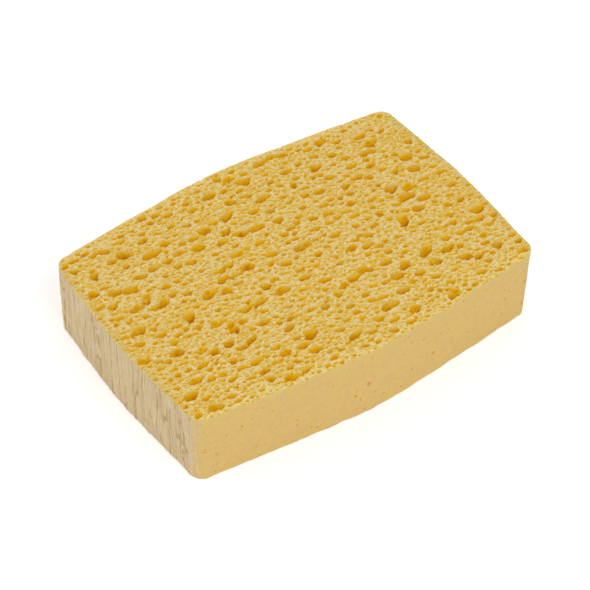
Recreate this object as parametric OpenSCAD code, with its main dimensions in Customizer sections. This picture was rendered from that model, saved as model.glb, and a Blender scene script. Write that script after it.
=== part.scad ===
// Cleaning sponge: one block of yellow cellulose foam, dry, with bowed sides and open pores.
// The block stands on its underside, with X along its length. The origin is in the middle
// of the underside. The two large faces are cut faces, so they show the cells that the
// knife opened. The narrow faces are skinned over.

/* [Block] */
// Length between two corners, along X, before the corners are rounded
block_length = 147; // [115:1:185]
// Width between two corners, along Y, before the corners are rounded
block_width = 92; // [72:1:116]
// Thickness of the dry block
block_height = 32; // [20:1:45]

/* [Sides] */
// How far the middle of a long side stands out past its corners
long_side_bow = 6.8; // [0:0.1:10]
// How far the middle of a short end stands out past its corners
short_end_bow = 2.5; // [0:0.1:6]
// Roundness of the middle of a bowed side, from two straight flanks up to one even curve
bow_roundness = 0.2; // [0.05:0.05:1]
// Radius of the four upright corners
corner_radius = 5; // [1:0.5:12]

/* [Pores] */
// Depth of a pore as a share of its width
pore_depth_share = 0.7; // [0.3:0.05:1]
// Least thickness of the wall between two pores
pore_wall = 0.3; // [0.2:0.05:1]
// Least distance from a pore to the edge of its face
pore_edge_margin = 0.8; // [0.5:0.1:4]
// Width of the widest of the middling pores
middling_pore_width = 5; // [3:0.1:7]
// Width of the widest of the small pores
small_pore_width = 2.8; // [1.6:0.1:3.4]
// Number of places tried for the middling pores of one face
middling_pore_tries = 220; // [0:10:500]
// Number of places tried for the small pores of one face
small_pore_tries = 160; // [0:10:900]
// Start of the random draws for the upper face
upper_seed = 4021; // [1:1:99999]
// Start of the random draws for the underside
under_seed = 977; // [1:1:99999]
// Radius of the unbroken patch in the middle of the underside
rest_patch_radius = 4; // [2:0.5:10]

/* [Hidden] */

// Steps along half a long side, half a short end and one corner
side_steps = 12;
end_steps = 8;
corner_steps = 8;
// Facets around one pore
pore_facets = 20;
// Least width of a pore as a share of the widest of its kind
least_width_share = 0.55;
// How much smaller the far ball of a long pore is than the near one, as a share
ball_shrink_share = 0.2;

// The large pores of the upper face, as they lie on the real block: place as shares of the
// half length and the half width, then length, width and turn of each pore.
large_pore_list = [
  // Back left quarter
  [-0.88, 0.72, 6.0, 3.7, 80], [-0.97, 0.40, 4.0, 2.5, 10], [-0.76, 0.27, 5.0, 4.0, 60],
  [-0.70, 0.50, 5.5, 3.4, -5], [-0.61, 0.52, 5.0, 3.6, 20], [-0.57, 0.66, 7.0, 4.3, 5],
  [-0.56, 0.82, 4.2, 3.0, 10], [-0.65, 0.91, 3.4, 2.4, 0], [-0.46, 0.55, 5.2, 3.2, -10],
  [-0.34, 0.62, 4.2, 2.6, 5], [-0.24, 0.46, 5.2, 3.2, 15], [-0.12, 0.68, 6.0, 4.4, 30],
  [-0.11, 0.95, 6.0, 3.7, 5], [-0.23, 0.29, 5.0, 3.6, 0], [-0.05, 0.44, 6.0, 3.7, -5],
  [-0.09, 0.29, 4.6, 3.0, 10],
  // Back right quarter
  [0.01, 0.61, 5.0, 3.1, 0], [0.10, 0.69, 5.6, 4.0, 15], [0.28, 0.68, 4.0, 2.8, 80],
  [0.31, 0.84, 5.0, 3.1, 10], [0.23, 1.04, 6.0, 3.7, 5], [0.45, 0.75, 5.2, 3.8, 20],
  [0.47, 0.59, 4.0, 3.0, -10], [0.61, 0.60, 5.0, 3.2, 10], [0.69, 0.52, 4.2, 3.0, 20],
  [0.65, 0.90, 4.2, 2.6, 0], [0.07, 0.07, 7.0, 4.3, 5], [0.45, 0.25, 4.2, 3.0, 0],
  [0.55, 0.19, 4.0, 2.5, 10], [0.41, 0.12, 4.2, 2.8, -5], [0.25, 0.03, 5.0, 3.1, 5],
  // Middle
  [-0.49, 0.05, 6.4, 4.8, 20], [-0.65, -0.06, 6.4, 4.8, 70], [-0.33, 0.02, 4.2, 2.6, 0],
  [-0.40, -0.24, 5.2, 3.8, 10], [0.59, -0.13, 7.0, 4.6, 70], [0.77, -0.02, 5.0, 3.8, 0],
  [0.34, -0.21, 5.0, 3.2, 10], [-0.04, -0.22, 5.0, 3.1, 5], [0.03, -0.33, 5.0, 3.1, -10],
  [-0.52, -0.35, 5.4, 4.0, 80],
  // Front left quarter
  [-0.77, -0.54, 5.0, 3.1, 10], [-0.84, -0.44, 3.2, 2.2, 0], [-0.94, -0.39, 3.2, 2.2, 10],
  [-0.42, -0.70, 4.2, 3.0, 0], [-0.63, -0.73, 3.8, 2.8, 0], [-0.47, -0.82, 4.2, 2.6, 5],
  [-0.31, -0.80, 5.0, 3.1, -5], [-0.87, -0.83, 4.0, 2.5, 10], [-0.76, -0.98, 3.2, 2.0, 0],
  [-0.23, -1.03, 4.0, 2.5, 10], [-0.06, -0.93, 6.0, 3.7, 25],
  // Front right quarter
  [0.56, -0.51, 7.0, 4.3, 30], [0.44, -0.68, 4.2, 3.0, 10], [0.19, -0.83, 7.0, 4.3, 5],
  [0.15, -0.97, 4.6, 2.8, 10], [0.49, -1.01, 6.0, 3.7, 25], [0.75, -0.79, 4.2, 3.0, 30],
];

// Bow of a side at the share t of its half length: 1 in the middle and 0 at the corner
function bow(t) =
  let (widest = sqrt(1 + pow(bow_roundness, 2)) - bow_roundness)
  1 - (sqrt(t * t + pow(bow_roundness, 2)) - bow_roundness) / widest;

// Half width at the share t of the half length, and half length at the share t of the half width
function half_side(t) = block_width / 2 + long_side_bow * bow(t);
function half_end(t) = block_length / 2 + short_end_bow * bow(t);

// How fast the bow falls at the corner, and the lean of side and end that this gives there
bow_fall = 1 / (1 + pow(bow_roundness, 2) - bow_roundness * sqrt(1 + pow(bow_roundness, 2)));
side_lean = atan(long_side_bow * bow_fall / (block_length / 2));
end_lean = atan(short_end_bow * bow_fall / (block_width / 2));

// Length of side and of end that the rounded corner takes up, and the shares that are left
corner_cut = corner_radius / tan((90 + side_lean + end_lean) / 2);
side_share = 1 - corner_cut * cos(side_lean) / (block_length / 2);
end_share = 1 - corner_cut * cos(end_lean) / (block_width / 2);
corner_middle = [
  side_share * block_length / 2 - corner_radius * sin(side_lean),
  half_side(side_share) - corner_radius * cos(side_lean)
];

// A quarter of the outline, from the middle of an end, round the corner, to the middle of a side
quarter = concat(
  [for (i = [0 : end_steps - 1])
    let (t = end_share * i / end_steps) [half_end(t), t * block_width / 2]],
  [for (i = [0 : corner_steps])
    let (a = end_lean + (90 - side_lean - end_lean) * i / corner_steps)
    corner_middle + corner_radius * [cos(a), sin(a)]],
  [for (i = [1 : side_steps])
    let (t = side_share * (1 - i / side_steps)) [t * block_length / 2, half_side(t)]]
);

// The whole outline, counterclockwise, as four mirrored quarters
last = len(quarter) - 1;
outline = [for (k = [0 : 3], i = [0 : last - 1])
  let (p = quarter[k % 2 == 0 ? i : last - i])
  [p.x * (k == 1 || k == 2 ? -1 : 1), p.y * (k > 1 ? -1 : 1)]];

// Distance from a point to the nearest edge of the outline, inwards
function edge_distance(p) =
  min([for (i = [0 : len(outline) - 1])
    let (a = outline[i], along = outline[(i + 1) % len(outline)] - a)
    (along.x * (p.y - a.y) - along.y * (p.x - a.x)) / norm(along)]);

// A pore is one ball or a row of balls, each [x, y, width at the face]. The ball's radius and the
// depth of its middle below the face are shares of that width.
ball_share = (0.25 + pow(pore_depth_share, 2)) / (2 * pore_depth_share);
sink_share = pore_depth_share - ball_share;

// The two balls of a long pore
function long_pore(x, y, length, width, turn) =
  let (
    far_width = width * (1 - ball_shrink_share),
    reach = (length - (width + far_width) / 2) / 2
  )
  [
    [x - reach * cos(turn), y - reach * sin(turn), width],
    [x + reach * cos(turn), y + reach * sin(turn), far_width]
  ];

function inside(pore) =
  min([for (b = pore) edge_distance(b) - ball_share * b[2]]) >= pore_edge_margin;

function gap_between(p, q) =
  min([for (a = p, b = q) norm([a.x - b.x, a.y - b.y]) - ball_share * (a[2] + b[2])]);

function clear_of(pore, placed) =
  len([for (q = placed) if (gap_between(pore, q) < pore_wall) q]) == 0;

// Pores that keep clear of the edge and of one another, taken in the order of the list
function settled(wanted, placed, i = 0) =
  i == len(wanted) ? placed :
  settled(
    wanted,
    clear_of(wanted[i], placed) && inside(wanted[i]) ? concat(placed, [wanted[i]]) : placed,
    i + 1
  );

// Random numbers between 0 and 1 from the multiplicative generator of Lehmer
lehmer_modulus = 2147483647;
function next_draw(s) = (s * 16807) % lehmer_modulus;
function draws(seed, count) =
  [for (i = 0, s = next_draw(seed); i < count; i = i + 1, s = next_draw(s)) s / lehmer_modulus];

// Round pores of one kind at random places, up to the width given
function random_pores(seed, tries, widest) =
  let (r = draws(seed, 3 * tries))
  [for (i = [0 : 1 : tries - 1])
    [[
      half_end(0) * (2 * r[3 * i] - 1),
      half_side(0) * (2 * r[3 * i + 1] - 1),
      widest * (least_width_share + (1 - least_width_share) * r[3 * i + 2])
    ]]];

function filler(seed) = concat(
  random_pores(seed, middling_pore_tries, middling_pore_width),
  random_pores(seed + 1, small_pore_tries, small_pore_width)
);

large_pores = settled(
  [for (p = large_pore_list)
    long_pore(p[0] * block_length / 2, p[1] * block_width / 2, p[2], p[3], p[4])],
  []
);
upper_pores = settled(filler(upper_seed), large_pores);
round_pores = [for (i = [len(large_pores) : 1 : len(upper_pores) - 1]) upper_pores[i]];

// The unbroken patch is settled first, as if it were a round pore, and isn't cut
under_settled = settled(filler(under_seed), [[[0, 0, rest_patch_radius / ball_share]]]);
under_pores = [for (i = [1 : 1 : len(under_settled) - 1]) under_settled[i]];

// Hollows that open pores in a face at height 0 that looks up
module hollows(pores) {
  for (pore = pores)
    for (b = pore)
      translate([b.x, b.y, -sink_share * b[2]])
        sphere(r = ball_share * b[2], $fn = pore_facets);
}

// The block with its large pores open
module opened_block() {
  difference() {
    linear_extrude(block_height)
      polygon(outline);
    translate([0, 0, block_height])
      hollows(large_pores);
  }
}

module sponge() {
  color([0.88, 0.76, 0.44])
    difference() {
      difference() {
        opened_block();
        translate([0, 0, block_height])
          hollows(round_pores);
      }
      mirror([0, 0, 1])
        hollows(under_pores);
    }
}

sponge();
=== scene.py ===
# %% [markdown]
# # A dry cellulose sponge
# A cellulose sponge is cast as a big loaf full of gas bubbles and salt crystals, washed, dried and
# sliced. The two large faces are slices, so they show every bubble that the knife opened. The
# narrow faces were the outside of the loaf, so they have a skin. This lesson builds both kinds of
# surface and joins them into one closed mesh, because the real thing is one piece.

# %% Load the fixed frame
import math

import bpy
import numpy as np
from mathutils import Matrix, Vector


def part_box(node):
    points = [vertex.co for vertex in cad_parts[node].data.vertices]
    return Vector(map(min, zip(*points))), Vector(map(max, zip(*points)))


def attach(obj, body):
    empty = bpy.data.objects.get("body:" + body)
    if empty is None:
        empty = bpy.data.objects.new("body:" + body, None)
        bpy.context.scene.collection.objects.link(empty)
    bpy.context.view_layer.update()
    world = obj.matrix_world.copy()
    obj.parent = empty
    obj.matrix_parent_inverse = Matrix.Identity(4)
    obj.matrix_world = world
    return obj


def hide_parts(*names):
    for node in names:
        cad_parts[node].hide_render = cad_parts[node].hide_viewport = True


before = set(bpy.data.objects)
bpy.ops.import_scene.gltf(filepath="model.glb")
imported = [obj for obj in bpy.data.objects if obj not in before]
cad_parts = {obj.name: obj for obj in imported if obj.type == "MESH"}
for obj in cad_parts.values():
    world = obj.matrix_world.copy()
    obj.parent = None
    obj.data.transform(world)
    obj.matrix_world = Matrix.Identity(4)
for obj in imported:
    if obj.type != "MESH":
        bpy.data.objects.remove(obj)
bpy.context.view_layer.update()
low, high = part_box("sponge")
MM = 0.001
length, width, height = [(high[i] - low[i]) / MM for i in range(3)]
print(f"the block measures {length:.1f} x {width:.1f} x {height:.1f} mm")

# %% [markdown]
# ## The camera
# The camera comes first, because every later choice is judged through it. It looks down on the
# middle of the upper face. Its turn, height, distance and tilt were worked out from the outline
# of the block in the photograph, and it is a long lens, so the block hardly tapers.

# %% Aim the camera
# Angles in degrees, everything else in millimetres
CAMERA_AZIMUTH = -36.05
CAMERA_ELEVATION = 46.2
CAMERA_DISTANCE = 905.2
CAMERA_ROLL = 1.35
CAMERA_RIGHT = -0.33
CAMERA_UP = -13.94
SENSOR = 36.0
FOCAL_LENGTH = 153.6


def camera_axes(azimuth, elevation, roll):
    """Right, up and back of a camera that looks at the block from an azimuth and elevation."""
    a, e, r = math.radians(azimuth), math.radians(elevation), math.radians(roll)
    back = Vector((math.sin(a) * math.cos(e), -math.cos(a) * math.cos(e), math.sin(e)))
    right = Vector((0, 0, 1)).cross(back).normalized()
    up = back.cross(right)
    return (
        right * math.cos(r) + up * math.sin(r),
        up * math.cos(r) - right * math.sin(r),
        back,
    )


scene = bpy.context.scene
right, up, back = camera_axes(CAMERA_AZIMUTH, CAMERA_ELEVATION, CAMERA_ROLL)
face_middle = Vector((0, 0, height * MM))
camera_data = bpy.data.cameras.new("camera")
camera_data.lens = FOCAL_LENGTH
camera_data.sensor_width = SENSOR
camera = bpy.data.objects.new("camera", camera_data)
spot = face_middle + (back * CAMERA_DISTANCE + right * CAMERA_RIGHT + up * CAMERA_UP) * MM
camera.matrix_world = Matrix.Translation(spot) @ Matrix((right, up, back)).transposed().to_4x4()
scene.collection.objects.link(camera)
scene.camera = camera
print("the camera stands", round(spot.length, 3), "m from the origin")

# %% [markdown]
# ## Helpers for nodes
# Shader trees and geometry trees are built from the same kinds of node, so one small function adds
# any of them, with its settings and its links. A table gives each kind a short name, because a sum
# written in nodes is easier to read that way. Colours are written as sRGB hex values, the way a
# painter would pick them, and turned to linear light for the shader.

# %% The kinds of node that sums and patterns need
KINDS = {
    "plus": ("ShaderNodeMath", {"operation": "ADD"}),
    "minus": ("ShaderNodeMath", {"operation": "SUBTRACT"}),
    "times": ("ShaderNodeMath", {"operation": "MULTIPLY"}),
    "over": ("ShaderNodeMath", {"operation": "DIVIDE"}),
    "power": ("ShaderNodeMath", {"operation": "POWER"}),
    "lesser": ("ShaderNodeMath", {"operation": "MINIMUM"}),
    "greater": ("ShaderNodeMath", {"operation": "MAXIMUM"}),
    "size": ("ShaderNodeMath", {"operation": "ABSOLUTE"}),
    "clamped": ("ShaderNodeClamp", {}),
    "vector plus": ("ShaderNodeVectorMath", {"operation": "ADD"}),
    "vector minus": ("ShaderNodeVectorMath", {"operation": "SUBTRACT"}),
    "vector times": ("ShaderNodeVectorMath", {"operation": "MULTIPLY"}),
    "scaled": ("ShaderNodeVectorMath", {"operation": "SCALE"}),
    "dot": ("ShaderNodeVectorMath", {"operation": "DOT_PRODUCT"}),
    "parts": ("ShaderNodeSeparateXYZ", {}),
    "noise": ("ShaderNodeTexNoise", {}),
}
print("kinds of node for sums:", len(KINDS))


# %% Add a node, turn a hex colour to linear, and two patterns that many trees share
def add(tree, kind, *in_order, output=0, **by_name):
    """Adds a node of one of the kinds, fills its inputs in order or by name, and gives an output.

    A value that is a socket is linked. A name such as i6 stands for the input in place 6."""
    node_type, settings = KINDS[kind]
    node = tree.nodes.new(node_type)
    for name, value in settings.items():
        setattr(node, name, value)
    named = {
        int(name[1:]) if name[1:].isdigit() else name.replace("_", " "): value
        for name, value in by_name.items()
    }
    for key, value in [*enumerate(in_order), *named.items()]:
        if isinstance(value, bpy.types.NodeSocket):
            tree.links.new(value, node.inputs[key])
        else:
            node.inputs[key].default_value = value
    return node.outputs[output] if len(node.outputs) else None


def linear(hex_colour):
    """An sRGB hex colour as linear red, green, blue and alpha."""
    parts = [int(hex_colour[i : i + 2], 16) / 255 for i in (1, 3, 5)]
    return [p / 12.92 if p < 0.04045 else ((p + 0.055) / 1.055) ** 2.4 for p in parts] + [1.0]


def shaken(tree, place, reach, **noise):
    """A place moved about by a noise with the inputs given, by half the reach each way."""
    colour = add(tree, "noise", place, output=1, **noise)
    shake = add(tree, "vector minus", colour, (0.5, 0.5, 0.5))
    return add(tree, "vector plus", place, add(tree, "vector times", shake, reach))


def thin_lines(tree, value, sharpness):
    """Thin lines, 1 in their middle and 0 beside them, where a noise passes through a half."""
    off = add(tree, "size", add(tree, "minus", value, 0.5))
    return add(tree, "minus", 1.0, add(tree, "lesser", add(tree, "times", off, sharpness), 1.0))


print("a middle grey in linear light is", [round(v, 3) for v in linear("#808080")])

# %% [markdown]
# ## Where the pores lie
# The eye knows a sponge by its large pores, so the large ones of the upper face are listed one by
# one, as in the solid model. Smaller ones are dropped at random and kept if they clear what is
# there already. The same rule and the same draws as in the solid model give the same pores, and
# more rounds of smaller ones then fill the land between them, as bubbles do in a real foam.

# %% The outline of the block
SIDE_BOW = 6.8
END_BOW = 2.5
BOW_ROUNDNESS = 0.2
CORNER_RADIUS = 5.0
block_length = length - 2 * END_BOW
block_width = width - 2 * SIDE_BOW


def bow(t):
    """Bow of a side at the share t of its half length: 1 in the middle and 0 at the corner."""
    widest = math.sqrt(1 + BOW_ROUNDNESS**2) - BOW_ROUNDNESS
    return 1 - (np.sqrt(np.asarray(t) ** 2 + BOW_ROUNDNESS**2) - BOW_ROUNDNESS) / widest


def half_side(t):
    """Half width of the block at the share t of its half length."""
    return block_width / 2 + SIDE_BOW * bow(t)


def half_end(t):
    """Half length of the block at the share t of its half width."""
    return block_length / 2 + END_BOW * bow(t)


def outline(side_steps, end_steps, corner_steps):
    """Points of the outline, counterclockwise, and how much each lies on an end, from 0 to 1."""
    root = math.sqrt(1 + BOW_ROUNDNESS**2)
    fall = 1 / (root * (root - BOW_ROUNDNESS))
    side_lean = math.atan(SIDE_BOW * fall / (block_length / 2))
    end_lean = math.atan(END_BOW * fall / (block_width / 2))
    cut = CORNER_RADIUS / math.tan((math.pi / 2 + side_lean + end_lean) / 2)
    side_share = 1 - cut * math.cos(side_lean) / (block_length / 2)
    end_share = 1 - cut * math.cos(end_lean) / (block_width / 2)
    middle = np.array(
        [
            side_share * block_length / 2 - CORNER_RADIUS * math.sin(side_lean),
            half_side(side_share) - CORNER_RADIUS * math.cos(side_lean),
        ]
    )
    t = end_share * np.arange(end_steps) / end_steps
    on_end = np.column_stack([half_end(t), t * block_width / 2])
    corner = np.arange(corner_steps + 1) / corner_steps
    a = end_lean + (math.pi / 2 - side_lean - end_lean) * corner
    on_corner = middle + CORNER_RADIUS * np.column_stack([np.cos(a), np.sin(a)])
    t = side_share * (1 - np.arange(1, side_steps + 1) / side_steps)
    on_side = np.column_stack([t * block_length / 2, half_side(t)])
    quarter = np.vstack([on_end, on_corner, on_side])
    quarter_ends = np.concatenate([np.ones(end_steps), 1 - corner, np.zeros(side_steps)])
    points, ends = [], []
    for k, signs in enumerate([(1, 1), (-1, 1), (-1, -1), (1, -1)]):
        order = slice(0, -1) if k % 2 == 0 else slice(None, 0, -1)
        points.append(quarter[order] * signs)
        ends.append(quarter_ends[order])
    return np.vstack(points), np.concatenate(ends)


# Steps along half a side, half an end and a corner
ROUGH_STEPS = (12, 8, 8)
rough_outline, _ = outline(*ROUGH_STEPS)
print("outline spans", np.ptp(rough_outline, axis=0).round(1), "mm")

# %% The large pores of the upper face
# Place as shares of the half length and half width, then length, width and turn of each pore.
LARGE_PORES = [
    # Back left quarter
    (-0.88, 0.72, 6.0, 3.7, 80), (-0.97, 0.40, 4.0, 2.5, 10), (-0.76, 0.27, 5.0, 4.0, 60),
    (-0.70, 0.50, 5.5, 3.4, -5), (-0.61, 0.52, 5.0, 3.6, 20), (-0.57, 0.66, 7.0, 4.3, 5),
    (-0.56, 0.82, 4.2, 3.0, 10), (-0.65, 0.91, 3.4, 2.4, 0), (-0.46, 0.55, 5.2, 3.2, -10),
    (-0.34, 0.62, 4.2, 2.6, 5), (-0.24, 0.46, 5.2, 3.2, 15), (-0.12, 0.68, 6.0, 4.4, 30),
    (-0.11, 0.95, 6.0, 3.7, 5), (-0.23, 0.29, 5.0, 3.6, 0), (-0.05, 0.44, 6.0, 3.7, -5),
    (-0.09, 0.29, 4.6, 3.0, 10),
    # Back right quarter
    (0.01, 0.61, 5.0, 3.1, 0), (0.10, 0.69, 5.6, 4.0, 15), (0.28, 0.68, 4.0, 2.8, 80),
    (0.31, 0.84, 5.0, 3.1, 10), (0.23, 1.04, 6.0, 3.7, 5), (0.45, 0.75, 5.2, 3.8, 20),
    (0.47, 0.59, 4.0, 3.0, -10), (0.61, 0.60, 5.0, 3.2, 10), (0.69, 0.52, 4.2, 3.0, 20),
    (0.65, 0.90, 4.2, 2.6, 0), (0.07, 0.07, 7.0, 4.3, 5), (0.45, 0.25, 4.2, 3.0, 0),
    (0.55, 0.19, 4.0, 2.5, 10), (0.41, 0.12, 4.2, 2.8, -5), (0.25, 0.03, 5.0, 3.1, 5),
    # Middle
    (-0.49, 0.05, 6.4, 4.8, 20), (-0.65, -0.06, 6.4, 4.8, 70), (-0.33, 0.02, 4.2, 2.6, 0),
    (-0.40, -0.24, 5.2, 3.8, 10), (0.59, -0.13, 7.0, 4.6, 70), (0.77, -0.02, 5.0, 3.8, 0),
    (0.34, -0.21, 5.0, 3.2, 10), (-0.04, -0.22, 5.0, 3.1, 5), (0.03, -0.33, 5.0, 3.1, -10),
    (-0.52, -0.35, 5.4, 4.0, 80),
    # Front left quarter
    (-0.77, -0.54, 5.0, 3.1, 10), (-0.84, -0.44, 3.2, 2.2, 0), (-0.94, -0.39, 3.2, 2.2, 10),
    (-0.42, -0.70, 4.2, 3.0, 0), (-0.63, -0.73, 3.8, 2.8, 0), (-0.47, -0.82, 4.2, 2.6, 5),
    (-0.31, -0.80, 5.0, 3.1, -5), (-0.87, -0.83, 4.0, 2.5, 10), (-0.76, -0.98, 3.2, 2.0, 0),
    (-0.23, -1.03, 4.0, 2.5, 10), (-0.06, -0.93, 6.0, 3.7, 25),
    # Front right quarter
    (0.56, -0.51, 7.0, 4.3, 30), (0.44, -0.68, 4.2, 3.0, 10), (0.19, -0.83, 7.0, 4.3, 5),
    (0.15, -0.97, 4.6, 2.8, 10), (0.49, -1.01, 6.0, 3.7, 25), (0.75, -0.79, 4.2, 3.0, 30),
]


def long_pore(x_share, y_share, pore_length, pore_width, turn):
    """A listed pore as [x, y, length, width, turn] in millimetres and degrees."""
    return [x_share * block_length / 2, y_share * block_width / 2, pore_length, pore_width, turn]


print("pores placed by hand:", len(LARGE_PORES))

# %% Random draws and the two balls of a pore
LEHMER_MODULUS = 2147483647
LEHMER_FACTOR = 16807
# A pore's depth as a share of its width, and the radius of the ball that cuts such a pore
PORE_DEPTH_SHARE = 0.7
BALL_SHARE = (0.5**2 + PORE_DEPTH_SHARE**2) / (2 * PORE_DEPTH_SHARE)
# How much smaller the second ball of a long pore is
BALL_SHRINK_SHARE = 0.2


def draws(seed, count):
    """Random numbers between 0 and 1 from the multiplicative generator of Lehmer."""
    numbers = np.empty(count)
    for i in range(count):
        seed = seed * LEHMER_FACTOR % LEHMER_MODULUS
        numbers[i] = seed / LEHMER_MODULUS
    return numbers


def balls(pore):
    """The one or two balls of a pore, each x, y and width, as the solid model cuts them."""
    x, y, pore_length, pore_width, turn = pore
    if pore_length == pore_width:
        return [(x, y, pore_width)]
    far_width = pore_width * (1 - BALL_SHRINK_SHARE)
    reach = (pore_length - (pore_width + far_width) / 2) / 2
    along = reach * math.cos(math.radians(turn)), reach * math.sin(math.radians(turn))
    return [(x - along[0], y - along[1], pore_width), (x + along[0], y + along[1], far_width)]


print("balls of the first large pore:", np.round(balls(long_pore(*LARGE_PORES[0])), 1).tolist())

# %% The rule that keeps pores apart
PORE_WALL = 0.3
PORE_EDGE_MARGIN = 0.8


def edge_distance(x, y):
    """Distance from a point to the nearest edge of the outline, inwards."""
    start = rough_outline
    along = np.roll(start, -1, axis=0) - start
    across = along[:, 0] * (y - start[:, 1]) - along[:, 1] * (x - start[:, 0])
    return np.min(across / np.linalg.norm(along, axis=1))


def settled(wanted, placed, margin=PORE_EDGE_MARGIN, wall=PORE_WALL):
    """Adds each wanted pore that keeps clear of the edge and of the pores placed before it."""
    taken = [ball for pore in placed for ball in balls(pore)]
    room = np.zeros((len(taken) + 2 * len(wanted), 3))
    room[: len(taken)] = np.reshape(taken, (-1, 3))
    count = len(taken)
    kept = list(placed)
    for pore in wanted:
        own = balls(pore)
        gaps = [
            np.hypot(room[:count, 0] - x, room[:count, 1] - y) - BALL_SHARE * (room[:count, 2] + w)
            for x, y, w in own
        ]
        if count and min(g.min() for g in gaps) < wall:
            continue
        if min(edge_distance(x, y) - BALL_SHARE * w for x, y, w in own) < margin:
            continue
        room[count : count + len(own)] = own
        count += len(own)
        kept.append(pore)
    return kept


large = settled([long_pore(*p) for p in LARGE_PORES], [])
print("large pores that fit:", len(large))

# %% Random pores of one face
LEAST_WIDTH_SHARE = 0.55
MIDDLING_PORE_WIDTH = 5.0
SMALL_PORE_WIDTH = 2.8
MIDDLING_PORE_TRIES = 220
SMALL_PORE_TRIES = 160
# Rounds of smaller pores that fill the land: seed step, tries, widest, thinnest wall, edge margin
FILLING_ROUNDS = [(2, 900, 3.6, 0.3, 0.4), (3, 4000, 2.0, 0.2, 0.0), (4, 9000, 1.3, 0.15, -0.5)]


def random_pores(seed, tries, widest):
    """Round pores of one kind at random places, up to the width given."""
    r = draws(seed, 3 * tries).reshape(-1, 3)
    x = half_end(0) * (2 * r[:, 0] - 1)
    y = half_side(0) * (2 * r[:, 1] - 1)
    w = widest * (LEAST_WIDTH_SHARE + (1 - LEAST_WIDTH_SHARE) * r[:, 2])
    return [[a, b, c, c, 0.0] for a, b, c in zip(x, y, w)]


def face_pores(first, seed, least_margin):
    """All pores of one face, and how many of them the solid model has too."""
    middling = random_pores(seed, MIDDLING_PORE_TRIES, MIDDLING_PORE_WIDTH)
    small = random_pores(seed + 1, SMALL_PORE_TRIES, SMALL_PORE_WIDTH)
    pores = settled(middling + small, first)
    shared = len(pores)
    for step, tries, widest, wall, margin in FILLING_ROUNDS:
        wanted = random_pores(seed + step, tries, widest)
        pores = settled(wanted, pores, max(margin, least_margin), wall)
    return pores, shared


print("tries in the filling rounds:", sum(tries for _, tries, *_ in FILLING_ROUNDS))

# %% Lobes and holes that break the round shape of a pore
LOBE_LEAST_WIDTH = 2.0
# Widths of a lobe as shares of its pore's width, and the squeeze of its place across the pore
LOBE_SHARES = (0.35, 0.65)
LOBE_SQUEEZE = 0.7
# Places from the middle of the pore to its rim, and the step from one lobe to the next in full turns
LOBE_PLACE = 0.85
HOLE_PLACE = 0.35
LOBE_STEP = 0.4
HOLE_CHANCE = 0.35
HOLE_DEPTH_SHARE = 0.35


def broken_rims(pores, seed):
    """Smaller pores on the rims and in the floors of the larger ones, so that no rim stays round.

    The sixth value of a pore is how much deeper it starts, in millimetres."""
    added = []
    for pore, r in zip(pores, draws(seed, 8 * len(pores)).reshape(-1, 8)):
        x, y, pore_length, pore_width, turn = pore
        if pore_width < LOBE_LEAST_WIDTH:
            continue
        lobes = [(r[0], r[1], LOBE_PLACE, 0.0), (r[0] + LOBE_STEP, r[2], LOBE_PLACE, 0.0)]
        if r[3] < HOLE_CHANCE:
            lobes.append((r[4], r[5], HOLE_PLACE, HOLE_DEPTH_SHARE * pore_width))
        c, s = math.cos(math.radians(turn)), math.sin(math.radians(turn))
        for angle, size, place, deeper in lobes:
            a = 2 * math.pi * angle
            along = place * pore_length / 2 * math.cos(a)
            across = LOBE_SQUEEZE * place * pore_width / 2 * math.sin(a)
            w = pore_width * (LOBE_SHARES[0] + (LOBE_SHARES[1] - LOBE_SHARES[0]) * size)
            added.append([x + along * c - across * s, y + along * s + across * c, w, w, 0.0, deeper])
    return [[*pore, 0.0] for pore in pores] + added


print("lobes are", LOBE_SHARES[0], "to", LOBE_SHARES[1], "of the width of their pore")

# %% Settle the pores of both faces
UPPER_SEED = 4021
UNDER_SEED = 977
LOBE_SEEDS = (59, 61)
# Small pores may open the edge of the upper face, but those underneath keep clear of the edge
UPPER_MARGIN = -1.0
UNDER_MARGIN = 0.7
# The solid model keeps a round patch of the underside free, where the block is taken hold of
REST_PATCH_RADIUS = 4.0

upper_pores, upper_shared = face_pores(large, UPPER_SEED, UPPER_MARGIN)
rest_patch = [0.0, 0.0, REST_PATCH_RADIUS / BALL_SHARE, REST_PATCH_RADIUS / BALL_SHARE, 0.0]
under_pores, under_shared = face_pores([rest_patch], UNDER_SEED, UNDER_MARGIN)
upper_pores = broken_rims(upper_pores, LOBE_SEEDS[0])
under_pores = broken_rims(under_pores[1:], LOBE_SEEDS[1])
print("upper face:", upper_shared, "in the solid,", len(upper_pores), "in all")
print("underside:", under_shared - 1, "in the solid,", len(under_pores), "in all")

# %% [markdown]
# ## A sheet with hollows
# A cut face is a level sheet of foam with a hollow for every bubble. It could be made by taking
# thousands of balls away from a block, but most of them are smaller than two millimetres, and the
# balls' own facets would use up the mesh. So Geometry Nodes push a fine grid down instead: each
# point of the grid finds its nearest pore, works out how far inside that pore it lies, and sinks.
# The place that it looks from is shaken by noise first, so no hollow has a clean round rim. The
# pores are looked up in five layers, coarse to fine, so that a small one can break a large one.

# %% The pores as points that carry their own sizes
# Widest pore of each layer, from the coarse layer to the fine one
LAYER_LIMITS = [9.0, 3.3, 2.1, 1.3, 0.9]
# The grid looks for the nearest pore on a face that is stretched across, as the pores are narrow
LOOK_STRETCH = 1.3
ROUND_PORE_STRETCH = 1.28
PLACED_PORE_STRETCH = 1.15
GREATEST_TURN = 28.0
DEPTH_SHARES = (0.7, 1.15)
# Least of a value that differs from pore to pore, and its spread
UNLIKE = (0.85, 0.3)
# How strongly a pore's floor takes painted shade, and its rise with the depth
SHADE_STRENGTH_START = 0.8
SHADE_STRENGTH_RISE = 0.17
SHADE_STRENGTH_MOST = 1.2
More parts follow.
